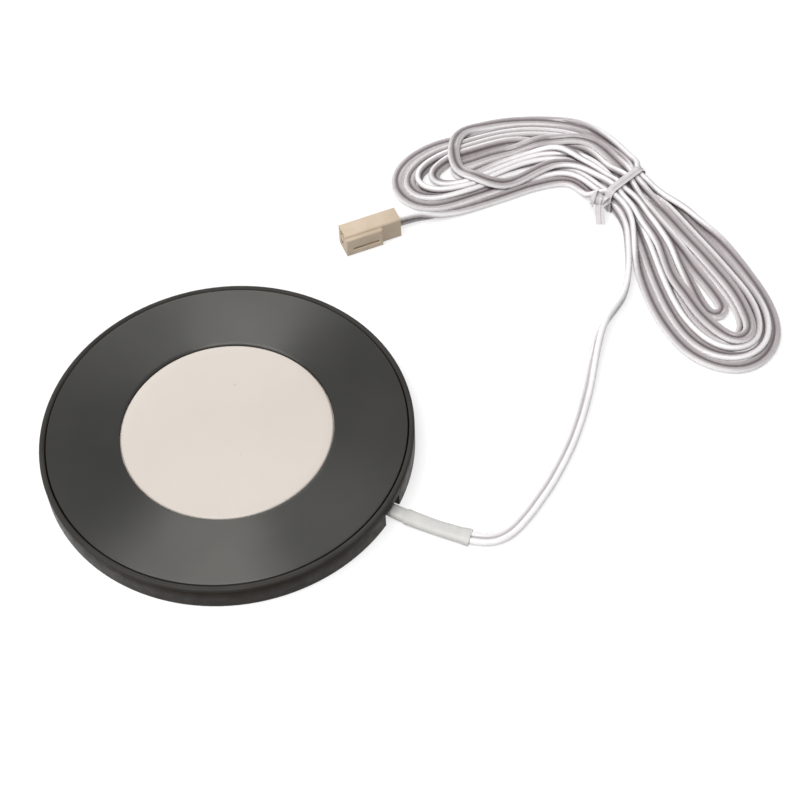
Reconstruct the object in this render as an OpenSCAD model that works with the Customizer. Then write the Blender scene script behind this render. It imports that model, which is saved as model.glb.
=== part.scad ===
// Slim round LED spotlight, lying face up, with its flat twin lead, the spare lead tied in a hank and a two-way plug.
// The origin is the middle of the flat back and +Z is the way that the light shines.

/* [Body] */
// Outside diameter of the body
body_d = 70; // [68:0.5:80]
// Height of the body over its flat back
body_h = 5.5; // [5.3:0.1:7]
// Thickness of the back wall
floor_t = 1.2; // [1.1:0.1:1.4]
// Thickness of the side wall below the face ring
wall_t = 2.6; // [2.3:0.1:3]
// Width of the rim that stands round the face ring
rim_w = 1; // [0.8:0.1:1.3]
// Radius of the rounded outer edge of the rim
rim_r = 0.5; // [0.2:0.1:0.6]
// Chamfer round the bottom edge of the body
foot_c = 0.3; // [0.1:0.1:0.6]

/* [Face] */
// Thickness of the pressed face ring
face_t = 0.8; // [0.6:0.1:1]
// Diameter of the aperture in the face ring
aperture_d = 40; // [36:0.5:42]
// Fine gap between the face ring and the rim
groove_w = 0.3; // [0.1:0.05:0.5]
// Radius of the rolled edge of the aperture
roll_r = 0.5; // [0.2:0.1:0.6]
// Length of each clip under the face ring
clip_h = 2.1; // [1.8:0.1:2.4]
// Width of each clip, as an angle
clip_a = 10; // [6:1:14]

/* [Diffuser] */
// Thickness of the diffuser's flange
flange_t = 0.8; // [0.6:0.1:1]
// Width of the flange under the face ring
flange_w = 1.5; // [1:0.1:2]
// Depth of the diffuser's edge below the face
sink = 0.3; // [0.1:0.1:0.5]
// Rise of the diffuser's shallow dome
dome_h = 0.15; // [0.05:0.05:0.2]

/* [Light] */
// Thickness of the aluminium-core board
board_t = 1; // [0.8:0.1:1.2]
// Thickness of the thermal pad under the board
pad_t = 0.15; // [0.1:0.05:0.25]
// Number of light chips on the outer ring
ring_chips = 8; // [6:1:10]
// Radius of the outer ring of chips
ring_r = 14; // [13.5:0.5:15]
// Number of light chips on the inner ring
core_chips = 4; // [3:1:4]
// Radius of the inner ring of chips
core_r = 5.5; // [5:0.5:6]

/* [Fixing] */
// Distance of the two fixing holes from the inside of the side wall
fix_inset = 2.9; // [2.8:0.1:3.6]
// Diameter of the fixing holes
fix_d = 3.4; // [3:0.1:4]
// Diameter of the small screws inside
screw_d = 2; // [1.6:0.1:2.2]

/* [Lead] */
// Width of the flat twin lead
cord_w = 2.6; // [2.4:0.1:2.9]
// Thickness of the flat twin lead
cord_t = 1.3; // [1.2:0.1:1.5]
// Width of the sleeve where the lead leaves the body
sleeve_w = 3.2; // [3.1:0.1:4]
// Thickness of that sleeve
sleeve_t = 1.9; // [1.8:0.1:2.1]
// Width of the notch for the sleeve in the side wall
notch_w = 5.2; // [4.8:0.1:6]
// Height of that notch over the back
notch_h = 3.6; // [3.2:0.1:3.9]

/* [Hank] */
// Height of the hank
hank_h = 6.2; // [5.6:0.1:7.4]
// Reach of the left lobe from the tie
left_reach = 56; // [50:0.5:60]
// Half width of the left lobe
left_w = 9.6; // [7:0.2:11]
// Reach of the short loop that lies on the left lobe
front_reach = 41.5; // [38:0.5:46]
// Reach of the right lobe from the tie
right_reach = 49; // [45:0.5:54]
// Half width of the right lobe
right_w = 10.8; // [8:0.2:12]
// Width of the hank where it is tied
waist_w = 9.8; // [9:0.2:11]
// Width of the twist tie's strip
tie_w = 1.8; // [1.2:0.1:3]
// Thickness of the twist tie's strip
tie_t = 0.5; // [0.3:0.1:0.8]

/* [Plug] */
// Length of the plug
plug_l = 12.2; // [10:0.2:15]
// Width of the plug with its latch block
plug_w = 4.6; // [4.2:0.1:5.4]
// Height of the plug
plug_h = 5.2; // [5:0.1:6]
// Length of the latch block on the plug's side
latch_l = 7.9; // [6:0.1:9]
// Distance between the two contacts
pitch = 2.5; // [2:0.1:2.6]

/* [Hidden] */
$fn = 96;
eps = 0.01;
// Clearance round a piece that drops into its seat
fit = 0.1;

// Heights of the stack inside the body
body_r = body_d / 2;
seat_z = body_h - face_t;
bore_r = body_r - wall_t;
pad_z = floor_t;
board_z = pad_z + pad_t;
board_top = board_z + board_t;
flange_z = seat_z - flange_t;
face_r = body_r - rim_w - groove_w;
aperture_r = aperture_d / 2;
flange_r = aperture_r + flange_w;
fix_x = bore_r - fix_inset;

// Clips of the face ring, and the groove in the side wall that they catch in
clip_t = 0.7;
clip_angles = [30, 150, 270];
nib = 0.4;
nib_z = seat_z - clip_h + 0.5;
nib_h = 0.5;
catch_play = 0.15;

// Ribs that centre the board, the reflector and the diffuser
rib_t = 1.2;
rib_a = 24;

// Parts on the board
chip_w = 2.8;
chip_l = 3.5;
chip_h = 0.7;
phosphor_r = 1.15;
phosphor_t = 0.12;
resistor = [3.2, 1.6, 0.55];
resistor_r = 9.6;
diode = [2.7, 1.6, 0.85];
diode_r = 10;
board_screw_r = 9.6;
screw_head_h = 0.6;
screw_head_r = 1.9;
slot_w = 0.4;
slot_h = 0.3;
thread_l = 0.9;

// The lead leaves the body at this angle, and its pieces inside lie on that line
exit_a = -30;
clamp_x = bore_r - 2.5;
clamp_l = 2.6;
clamp_t = 0.8;
clamp_z = floor_t + cord_t + 0.05;
post_r = 1.5;
post_y = cord_w / 2 + 0.25 + post_r;
post_play = 0.05;
clamp_screw_r = 0.8;
clamp_head_r = 1.35;
clamp_head_h = seat_z - clamp_z - clamp_t - fit;
channel_x = clamp_x + post_r + 0.3;
strip_x = clamp_x - clamp_l / 2 - 0.7;
strip_z = floor_t + cord_t / 2 + 0.05;
solder_x = strip_x - 3;
solder_r = 0.85;
solder_h = 1.1;
solder_y = 1;
tongue_x = strip_x - 2.3;
tongue_w = 6.4;
core_d = 0.7;
core_gap = cord_w / 2;
// The cores rise over the edge of the tongue
core_slope = atan((board_top + core_d * 0.7 - strip_z) / (strip_x - tongue_x));

// Route of the lead: x, y, z and its roll, 0 lying flat and 90 standing on its edge
LEAD = [[24.15, -13.95, 1.9, 0], [25.9, -14.95, 1.9, 0], [27.4, -15.8, 1.9, 0], [28.8, -16.6, 1.75, 0],
    [31, -17.8, 1.45, 0], [34, -19.3, 1.2, 0], [38, -21.2, 1.1, 0], [42, -22.9, 1.1, 0],
    [44, -23.6, 1.05, 0], [46, -24, 0.9, 0], [48, -24.1, 0.75, 0], [50, -23.5, 0.75, 0], [52, -22, 0.75, 0],
    [55, -18.5, 0.75, 0], [59, -12.8, 0.75, 0], [62, -7.5, 0.75, 0], [64.2, -3, 0.75, 0],
    [66.5, 3, 0.75, 0], [68.4, 9, 0.9, 10], [69.7, 14, 1.1, 30], [71, 18.5, 1.3, 50], [72.4, 22.4, 1.4, 70],
    [74, 25.6, 1.4, 85], [76, 28.2, 1.4, 90], [77.8, 31, 1.4, 90], [79, 34.5, 1.4, 90],
    [79.8, 38.7, 1.4, 90], [80.2, 43, 1.4, 90], [80.4, 46.5, 1.5, 90], [80.5, 48.5, 1.6, 90],
    [80.2, 50.4, 1.7, 90], [79.6, 52.4, 1.8, 90], [78.6, 54.5, 1.9, 90]];
// The sleeve covers these points of the route
SLEEVE_FROM = 3;
SLEEVE_TO = 8;
// Route of the short tail from the hank to the plug
TAIL = [[42, 55.2, 1.9, 90], [40, 54.7, 2.1, 90], [37.6, 54, 2.4, 90], [35.5, 53.3, 2.6, 90],
    [33.65, 52.65, 2.6, 90]];
cord_gap = 0.1;

// The hank: a waist at the tie and two lobes whose middle lines start there
tie_at = [81.1, 58.3];
tie_a = 41;
LEFT_SPINE = [[81.1, 58.3], [79.8, 61.8], [77.3, 66.2], [73.8, 70], [68.7, 71.8], [62, 71.8], [54, 69.4],
    [47, 66.8], [40.5, 64.6], [33.2, 62.8]];
RIGHT_SPINE = [[81.1, 58.3], [84.2, 54], [86.6, 49.6], [88.4, 45], [90, 40], [91.7, 35], [93.4, 30], [95.2, 25],
    [97, 20], [98.8, 15], [99.8, 12]];
front_shift = 3;
right_shift = 0.8;
lead_room = 1.6;
lobe_steps = 20;
tie_slot_play = 0.1;
knot_r = 1.3;
knot_l = 3.4;
TIE_TAIL = [[-1.4, 0.4, 4.1, 0], [-2.4, -0.6, 3.1, 20], [-3.3, -2.2, 1.6, 30], [-3.7, -4, 1, 30]];

// Place of the plug, with its front end first, and its parts
plug_at = [22.3, 48];
plug_a = 20.5;
latch_w = 0.75;
latch_h = 4.7;
latch_slot = [5.7, 0.5, 0.75];
cavity = 1.9;
contact_l = 6.5;
contact_w = 1.6;
wire_hole_r = 0.75;
plug_edge = 0.25;

// Corner points of a quarter turn, from angle a to angle b
function arc(cx, cy, r, a, b, n = 5) = [for (i = [0:n]) [cx + r * cos(a + (b - a) * i / n),
    cy + r * sin(a + (b - a) * i / n)]];

// Length of a chain of points up to point i, and the point and direction at a distance along it
function upto(p, i) = i == 0 ? 0 : upto(p, i - 1) + norm(p[i] - p[i - 1]);
function step_at(p, d, i = 0) = i >= len(p) - 2 || upto(p, i + 1) >= d ? i : step_at(p, d, i + 1);
function along(p, d) = let (i = step_at(p, d), t = (d - upto(p, i)) / norm(p[i + 1] - p[i]))
    p[i] + t * (p[i + 1] - p[i]);
function heading(p, d) = let (v = along(p, d + 2) - along(p, max(0, d - 2))) v / norm(v);

// Outline of a lobe: a teardrop on a middle line, with its two legs starting beside each other at the tie
function lobe_point(spine, reach, w, slot, shift, a, side) = let (u = pow(sin(a / 2), 2), d = reach * u,
    h = heading(spine, d), off = side * (slot * (1 - u) + w * sin(a) * u / 0.65) + shift * u)
    along(spine, d) + off * [-h.y, h.x];
function lobe(spine, reach, w, slots, shift = 0) = concat(
    [for (i = [0:lobe_steps]) lobe_point(spine, reach, w, slots[0], shift, 180 * i / lobe_steps, 1)],
    [for (i = [lobe_steps - 1:-1:0]) lobe_point(spine, reach, w, slots[1], shift, 180 * i / lobe_steps, -1)]);

// Directions along and across a route at point i
function tangent(p, i) = let (a = p[max(0, i - 1)], b = p[min(len(p) - 1, i + 1)],
    v = [b.x - a.x, b.y - a.y, b.z - a.z]) v / norm(v);
function across(t) = let (v = cross(t, [0, 0, 1])) v / norm(v);

// Eight-sided section of a flat cord
function section(w, t) = [[w / 2, -t / 4], [w / 2, t / 4], [w / 3, t / 2], [-w / 3, t / 2], [-w / 2, t / 4],
    [-w / 2, -t / 4], [-w / 3, -t / 2], [w / 3, -t / 2]];

// Solid swept along a route that gives x, y, z and roll at each point
module swept(route, w, t) {
    shape = section(w, t);
    n = len(shape);
    m = len(route);
    points = [for (i = [0:m - 1]) let (f = tangent(route, i), s = across(f), u = cross(s, f), r = route[i][3],
        o = [route[i].x, route[i].y, route[i].z])
        for (q = shape) o + s * (q.x * cos(r) - q.y * sin(r)) + u * (q.x * sin(r) + q.y * cos(r))];
    sides = [for (i = [0:m - 2], j = [0:n - 1]) let (k = (j + 1) % n)
        each [[i * n + j, i * n + k, (i + 1) * n + j], [i * n + k, (i + 1) * n + k, (i + 1) * n + j]]];
    caps = [[for (j = [n - 1:-1:0]) j], [for (j = [0:n - 1]) (m - 1) * n + j]];
    polyhedron(points, concat(sides, caps), convexity = 6);
}

// Part of a route, with its ends moved out by a little
function reach_out(route, from, to, more) = [for (i = [from:to]) let (t = tangent(route, i),
    k = i == from ? -more : i == to ? more : 0, p = route[i]) [p.x + k * t.x, p.y + k * t.y, p.z + k * t.z, p[3]]];

// Places its children on the line on which the lead leaves the body
module on_exit() {
    rotate(exit_a) children();
}

module at_clamp_posts() {
    on_exit()
        for (y = [-post_y, post_y]) translate([clamp_x, y, 0]) children();
}

module at_board_screws() {
    for (x = [-board_screw_r, board_screw_r]) translate([x, 0, 0]) children();
}

// Moulded base with the side wall, the seat of the face ring and the notch for the lead
module housing() {
    color([0.17, 0.155, 0.14])
    difference() {
        union() {
            rotate_extrude()
                polygon(concat([[0, 0], [body_r - foot_c, 0], [body_r, foot_c]],
                    arc(body_r - rim_r, body_h - rim_r, rim_r, 0, 90),
                    [[body_r - rim_w, body_h], [body_r - rim_w, seat_z], [bore_r, seat_z],
                    [bore_r, nib_z + nib_h + catch_play], [bore_r + nib, nib_z + nib_h + catch_play],
                    [bore_r + nib, seat_z - clip_h], [bore_r, seat_z - clip_h], [bore_r, floor_t],
                    [0, floor_t]]));
            for (a = clip_angles)
                rotate(a - rib_a / 2)
                    rotate_extrude(angle = rib_a)
                        translate([flange_r + fit, floor_t - eps])
                            square([rib_t, seat_z - floor_t - fit]);
            at_clamp_posts()
                translate([0, 0, floor_t - eps])
                    cylinder(r = post_r, h = clamp_z - floor_t - post_play);
        }
        on_exit()
            translate([channel_x, -notch_w / 2, -1])
                cube([body_r, notch_w, notch_h + 1]);
        for (x = [-fix_x, fix_x])
            translate([x, 0, -1])
                cylinder(d = fix_d, h = floor_t + 2);
        at_board_screws()
            translate([0, 0, floor_t - thread_l])
                cylinder(d = screw_d, h = floor_t + 1);
        at_clamp_posts()
            translate([0, 0, clamp_z - thread_l * 2])
                cylinder(r = clamp_screw_r, h = thread_l * 3);
    }
}

// Pressed metal face with its rolled aperture and three clips
module face_ring() {
    color([0.3, 0.3, 0.29]) {
        rotate_extrude()
            polygon(concat([[aperture_r, seat_z], [face_r, seat_z], [face_r, body_h - 0.15],
                [face_r - 0.15, body_h]],
                arc(aperture_r + roll_r, body_h - roll_r, roll_r, 90, 180)));
        for (a = clip_angles)
            rotate(a - clip_a / 2)
                rotate_extrude(angle = clip_a)
                    translate([bore_r - fit, 0])
                        polygon([[-clip_t, seat_z - clip_h], [0, seat_z - clip_h], [nib, nib_z],
                            [nib, nib_z + nib_h], [0, nib_z + nib_h], [0, seat_z + eps], [-clip_t, seat_z + eps]]);
    }
}

// Opal window with a flange that the face ring holds down
module diffuser() {
    edge_z = body_h - sink;
    window_r = aperture_r - fit;
    edge_r = 0.4;
    dome_r = (pow(window_r - edge_r, 2) + pow(dome_h, 2)) / (2 * dome_h);
    dome_a = asin((window_r - edge_r) / dome_r);
    color([0.87, 0.84, 0.8])
    rotate_extrude()
        polygon(concat([[0, flange_z + 0.3], [window_r - 1.4, flange_z + 0.3], [window_r - 1.1, flange_z],
            [flange_r, flange_z], [flange_r, seat_z], [window_r, seat_z]],
            arc(window_r - edge_r, edge_z - edge_r, edge_r, 0, 90),
            arc(0, edge_z + dome_h - dome_r, dome_r, 90 - dome_a, 90, 6)));
}

// White ring that turns the light forward, with a gap where the cores come in
module reflector() {
    foot_r = ring_r + chip_l / 2 + 1.6;
    top_r = aperture_r - 0.8;
    color("white")
    difference() {
        rotate_extrude()
            polygon([[foot_r, board_top], [flange_r, board_top], [flange_r, flange_z], [top_r, flange_z]]);
        on_exit()
            translate([0, -tongue_w / 2, board_top - 1])
                cube([body_r, tongue_w, flange_z - board_top + 2]);
    }
}

// Round board with a tongue for the two solder pads
module led_board() {
    color([0.93, 0.93, 0.9])
    difference() {
        union() {
            translate([0, 0, board_z])
                cylinder(r = flange_r, h = board_t);
            on_exit()
                translate([0, -tongue_w / 2, board_z])
                    cube([tongue_x, tongue_w, board_t]);
        }
        at_board_screws()
            translate([0, 0, board_z - 1])
                cylinder(d = screw_d + 2 * fit, h = board_t + 2);
    }
}

module at_chips() {
    for (i = [0:ring_chips - 1])
        rotate(360 / ring_chips * (i + 0.5)) translate([ring_r, 0, board_top]) children();
    for (i = [0:core_chips - 1])
        rotate(360 / core_chips * (i + 0.5)) translate([core_r, 0, board_top]) children();
}

// Light chips, each with the round recess of its phosphor
module led_chips() {
    color([0.95, 0.85, 0.35])
    at_chips()
        difference() {
            translate([-chip_l / 2, -chip_w / 2, 0])
                cube([chip_l, chip_w, chip_h]);
            translate([0, 0, chip_h - phosphor_t])
                cylinder(r = phosphor_r, h = 1, $fn = 24);
        }
}

module board_resistors() {
    color([0.1, 0.1, 0.1])
    for (a = [60, 120, 240, 300])
        rotate(a)
            translate([resistor_r - resistor.y / 2, -resistor.x / 2, board_top])
                cube([resistor.y, resistor.x, resistor.z]);
}

module polarity_diode() {
    color([0.15, 0.15, 0.15])
    on_exit()
        translate([diode_r - diode.x / 2, -diode.y / 2, board_top])
            cube(diode);
}

module thermal_pad() {
    color([0.7, 0.72, 0.78])
    difference() {
        translate([0, 0, pad_z])
            cylinder(r = flange_r - 0.5, h = pad_t);
        at_board_screws()
            translate([0, 0, pad_z - 1])
                cylinder(d = screw_d + 1, h = pad_t + 2);
    }
}

// Two small screws through the board
module board_screws() {
    color("silver")
    at_board_screws()
        difference() {
            union() {
                translate([0, 0, floor_t - thread_l])
                    cylinder(d = screw_d, h = board_top - floor_t + thread_l + eps);
                translate([0, 0, board_top])
                    cylinder(r = screw_head_r, h = screw_head_h);
            }
            for (a = [0, 90])
                translate([0, 0, board_top + screw_head_h])
                    rotate(a)
                        cube([screw_d * 1.2, slot_w, 2 * slot_h], center = true);
        }
}

// Bare end of one core, from the cut end of the lead up to its solder pad
module core_path(y) {
    difference() {
        translate([strip_x, y, strip_z])
            rotate([0, core_slope - 90, 0])
                translate([0, 0, -core_d])
                    cylinder(d = core_d, h = (strip_x - solder_x) / cos(core_slope) + core_d, $fn = 24);
        translate([strip_x - 2 * eps, y - core_d, 0])
            cube([2 * core_d, 2 * core_d, body_h]);
    }
}

module bare_cores() {
    color([0.85, 0.6, 0.4])
    on_exit()
        for (y = [-core_gap / 2, core_gap / 2]) core_path(y);
}

module solder_joints() {
    color([0.8, 0.8, 0.82])
    on_exit()
        for (y = [-core_gap / 2, core_gap / 2])
            difference() {
                translate([solder_x, sign(y) * solder_y, board_top])
                    cylinder(r1 = solder_r, r2 = solder_r / 2, h = solder_h, $fn = 32);
                core_path(y);
            }
}

// Bar that holds the lead down on the back wall
module cable_clamp() {
    bar_l = 2 * (post_y + post_r);
    color([0.2, 0.2, 0.2])
    on_exit()
        difference() {
            translate([clamp_x - clamp_l / 2, -bar_l / 2, clamp_z])
                cube([clamp_l, bar_l, clamp_t]);
            for (y = [-post_y, post_y])
                translate([clamp_x, y, clamp_z - 1])
                    cylinder(r = clamp_screw_r + fit, h = clamp_t + 2, $fn = 32);
        }
}

module clamp_screws() {
    color("silver")
    at_clamp_posts() {
        translate([0, 0, clamp_z - thread_l * 1.5])
            cylinder(r = clamp_screw_r, h = thread_l * 1.5 + clamp_t + eps);
        difference() {
            translate([0, 0, clamp_z + clamp_t])
                cylinder(r = clamp_head_r, h = clamp_head_h);
            translate([0, 0, clamp_z + clamp_t + clamp_head_h])
                cube([3 * clamp_head_r, slot_w, clamp_head_h], center = true);
        }
    }
}

// Shrunk sleeve over the lead where it leaves the body
module cable_sleeve() {
    color([0.88, 0.88, 0.88])
    difference() {
        swept(reach_out(LEAD, SLEEVE_FROM, SLEEVE_TO, 0), sleeve_w, sleeve_t);
        swept(reach_out(LEAD, SLEEVE_FROM, SLEEVE_TO, 1), cord_w + cord_gap, cord_t + cord_gap);
    }
}

module lead_cord() {
    color([0.93, 0.92, 0.92])
    swept(LEAD, cord_w, cord_t);
}

module tail_cord() {
    color([0.93, 0.92, 0.92])
    swept(TAIL, cord_w, cord_t);
}

// Outer shape of the tied spare lead
module cord_hank() {
    half = waist_w / 2;
    color([0.9, 0.88, 0.89])
    difference() {
        union() {
            linear_extrude(hank_h)
                polygon(lobe(LEFT_SPINE, left_reach, left_w, [half, half]));
            linear_extrude(hank_h)
                polygon(lobe(LEFT_SPINE, front_reach, left_w, [half, half], -front_shift));
            linear_extrude(hank_h)
                polygon(lobe(RIGHT_SPINE, right_reach, right_w, [half, half - lead_room], right_shift));
        }
        translate([tie_at.x, tie_at.y, 0])
            rotate(tie_a)
                difference() {
                    translate([-waist_w, -tie_w / 2 - tie_slot_play, -1])
                        cube([2 * waist_w, tie_w + 2 * tie_slot_play, hank_h + 2]);
                    translate([-half, -tie_w, tie_t + tie_slot_play])
                        cube([waist_w, 2 * tie_w, hank_h - tie_t - 2 * tie_slot_play]);
                }
    }
}

// Strip round the waist of the hank, its twisted knot and the end that hangs from it
module twist_tie() {
    half = waist_w / 2;
    color([0.86, 0.85, 0.86])
    translate([tie_at.x, tie_at.y, 0])
        rotate(tie_a) {
            difference() {
                translate([-half - tie_t, -tie_w / 2, 0])
                    cube([waist_w + 2 * tie_t, tie_w, hank_h + tie_t]);
                translate([-half, -tie_w, tie_t])
                    cube([waist_w, 2 * tie_w, hank_h - tie_t]);
            }
            translate([-half - tie_t - knot_r, knot_l - tie_w / 2, hank_h * 0.7])
                rotate([90, 0, 0])
                    cylinder(r = knot_r, h = knot_l, $fn = 32);
            translate([-half - tie_t - knot_r, -tie_w / 2, hank_h * 0.7 - knot_r / 2])
                cube([knot_r + eps, tie_w, knot_r]);
            translate([-half - tie_t, 0, 0])
                swept(TIE_TAIL, tie_w, tie_t);
        }
}

module at_plug() {
    translate([plug_at.x, plug_at.y, 0])
        rotate(plug_a)
            children();
}

module at_contacts() {
    for (z = [(plug_h - pitch) / 2, (plug_h + pitch) / 2])
        translate([0, latch_w / 2, z])
            children();
}

// Moulded plug with two contact cavities and the slotted latch block on its side
module plug_housing() {
    e = plug_edge;
    color([0.84, 0.76, 0.66])
    at_plug()
        difference() {
            union() {
                rotate([90, 0, 90])
                    linear_extrude(plug_l)
                        polygon([[-plug_w / 2 + latch_w + e, 0], [plug_w / 2 - e, 0], [plug_w / 2, e],
                            [plug_w / 2, plug_h - e], [plug_w / 2 - e, plug_h], [-plug_w / 2 + latch_w + e, plug_h],
                            [-plug_w / 2 + latch_w, plug_h - e], [-plug_w / 2 + latch_w, e]]);
                rotate([90, 0, 90])
                    linear_extrude(latch_l)
                        polygon([[-plug_w / 2 + latch_w + e, 0], [-plug_w / 2 + e, 0], [-plug_w / 2, e],
                            [-plug_w / 2, latch_h - e], [-plug_w / 2 + e, latch_h],
                            [-plug_w / 2 + latch_w + e, latch_h]]);
            }
            translate([1.4, -plug_w / 2 - 1, plug_h / 3 - latch_slot.z / 2])
                cube([latch_slot.x, 1 + latch_slot.y, latch_slot.z]);
            at_contacts() {
                translate([-1, -cavity / 2, -cavity / 2])
                    cube([contact_l + 1, cavity, cavity]);
                rotate([0, 90, 0])
                    cylinder(r = wire_hole_r, h = plug_l + 1, $fn = 24);
            }
        }
}

// Folded box contacts with their crimped tails
module plug_contacts() {
    color([0.8, 0.78, 0.7])
    at_plug()
        at_contacts()
            difference() {
                union() {
                    translate([0.6, -contact_w / 2, -contact_w / 2])
                        cube([contact_l - 0.6 - fit, contact_w, contact_w]);
                    translate([contact_l - 0.5, 0, 0])
                        rotate([0, 90, 0])
                            cylinder(r = wire_hole_r - 0.1, h = plug_l - contact_l + 0.5, $fn = 24);
                }
                translate([-1, -contact_w / 2 + 0.25, -contact_w / 2 + 0.25])
                    cube([contact_l - 0.6, contact_w - 0.5, contact_w - 0.5]);
            }
}

housing();
face_ring();
diffuser();
reflector();
led_board();
led_chips();
board_resistors();
polarity_diode();
thermal_pad();
board_screws();
bare_cores();
solder_joints();
cable_clamp();
clamp_screws();
cable_sleeve();
lead_cord();
cord_hank();
tail_cord();
twist_tie();
plug_housing();
plug_contacts();
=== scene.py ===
# Slim round LED spotlight with its flat twin lead, the spare lead tied in a hank, and the two-way plug.
import math
import bmesh
import bpy
import numpy as np
from mathutils import Matrix, Vector


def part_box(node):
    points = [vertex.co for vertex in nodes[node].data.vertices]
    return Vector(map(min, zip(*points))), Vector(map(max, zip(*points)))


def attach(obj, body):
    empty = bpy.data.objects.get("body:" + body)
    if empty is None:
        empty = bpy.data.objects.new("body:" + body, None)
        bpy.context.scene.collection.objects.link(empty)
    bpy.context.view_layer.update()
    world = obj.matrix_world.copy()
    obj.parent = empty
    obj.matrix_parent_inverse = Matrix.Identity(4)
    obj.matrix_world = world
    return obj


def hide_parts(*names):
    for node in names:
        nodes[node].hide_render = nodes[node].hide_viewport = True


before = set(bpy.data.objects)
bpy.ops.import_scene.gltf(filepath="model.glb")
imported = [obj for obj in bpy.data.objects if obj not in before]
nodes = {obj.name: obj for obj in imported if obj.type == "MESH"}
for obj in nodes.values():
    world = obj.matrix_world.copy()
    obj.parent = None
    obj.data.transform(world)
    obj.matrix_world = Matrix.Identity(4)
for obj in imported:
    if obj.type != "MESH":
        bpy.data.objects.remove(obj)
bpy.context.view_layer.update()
MM = 0.001


def in_scene(name, data):
    """A new object with this data, put in the scene."""
    made = bpy.data.objects.new(name, data)
    bpy.context.scene.collection.objects.link(made)
    return made


# ---- Camera: the photograph's view, a long lens from the front and above ----
CAMERA_AT, CAMERA_TILT, CAMERA_ROLL = (32.45, -186.1, 261.6), 53.32, -2.60
LENS, FILM_WIDTH = 76.5, 36


def place_camera():
    """The camera, turned by its tilt down and its roll, in degrees."""
    tilt, roll = math.radians(CAMERA_TILT), math.radians(CAMERA_ROLL)
    level, back = Vector((1, 0, 0)), Vector((0, -math.cos(tilt), math.sin(tilt)))
    upright = back.cross(level)
    right = level * math.cos(roll) + upright * math.sin(roll)
    up = upright * math.cos(roll) - level * math.sin(roll)
    data = bpy.data.cameras.new("camera")
    data.lens, data.sensor_width = LENS, FILM_WIDTH
    data.clip_start, data.clip_end = 0.01, 20
    camera = in_scene("camera", data)
    turn = Matrix((right, up, back)).transposed().to_4x4()
    camera.matrix_world = Matrix.Translation(Vector(CAMERA_AT) * MM) @ turn
    bpy.context.scene.camera = camera


place_camera()

# ---- Route of the lead, in mm: x, y, z and its roll, 0 lying flat and 90 standing on its edge ----
CORD_W, CORD_T = 2.6, 1.3
LEAD = np.array([
    [24.15, -13.95, 1.9, 0], [25.9, -14.95, 1.9, 0], [27.4, -15.8, 1.9, 0], [28.8, -16.6, 1.75, 0],
    [31, -17.8, 1.45, 0], [34, -19.3, 1.2, 0], [38, -21.2, 1.1, 0], [42, -22.9, 1.1, 0],
    [44, -23.6, 1.05, 0], [46, -24, 0.9, 0], [48, -24.1, 0.75, 0], [50, -23.5, 0.75, 0], [52, -22, 0.75, 0],
    [55, -18.5, 0.75, 0], [59, -12.8, 0.75, 0], [62, -7.5, 0.75, 0], [64.2, -3, 0.75, 0],
    [66.5, 3, 0.75, 0], [68.4, 9, 0.9, 10], [69.7, 14, 1.1, 30], [71, 18.5, 1.3, 50], [72.4, 22.4, 1.4, 70],
    [74, 25.6, 1.4, 85], [76, 28.2, 1.4, 90], [77.8, 31, 1.4, 90], [79, 34.5, 1.4, 90],
    [79.8, 38.7, 1.4, 90], [80.2, 43, 1.4, 90], [80.4, 46.5, 1.5, 90], [80.5, 48.5, 1.6, 90],
    [80.2, 50.4, 1.7, 90], [79.6, 52.4, 1.8, 90], [78.6, 54.5, 1.9, 90]])
TAIL = np.array([
    [42, 55.2, 1.9, 90], [40, 54.7, 2.1, 90], [37.6, 54, 2.4, 90], [35.5, 53.3, 2.6, 90],
    [33.65, 52.65, 2.6, 90]])
SLEEVE_FROM, SLEEVE_TO = 3, 8           # points of the lead that the sleeve covers
SLEEVE_W, SLEEVE_T = 3.2, 1.9

# ---- The hank: where it is tied, and the middle lines of its two lobes ----
TIE_AT, TIE_A = np.array([81.1, 58.3]), math.radians(41)
ALONG_TIE = np.array([math.cos(TIE_A), math.sin(TIE_A)])
LEFT_SPINE = [[81.1, 58.3], [79.8, 61.8], [77.3, 66.2], [73.8, 70], [68.7, 71.8], [62, 71.8], [54, 69.4],
              [47, 66.8], [40.5, 64.6], [33.2, 62.8]]
RIGHT_SPINE = [[81.1, 58.3], [84.2, 54], [86.6, 49.6], [88.4, 45], [90, 40], [91.7, 35], [93.4, 30], [95.2, 25],
               [97, 20], [98.8, 15], [99.8, 12]]
LANE = 1.32                             # mm between two columns under the tie
# Heights of the lead's middle in mm: in the two layers under the tie, on the floor, and on other turns
LOW, HIGH, GROUND, RAISED = 1.9, 4.5, 1.35, 4.0
# Place of each pass under the tie: its column from the middle, and 1 where it lies on the others
PASSES = [(-3, 0), (3, 0), (-2, 0), (2, 0), (-1, 0), (1, 0), (0, 0),
          (1, 1), (-1, 1), (2, 1), (-2, 1), (3, 1), (-3, 1)]
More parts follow.
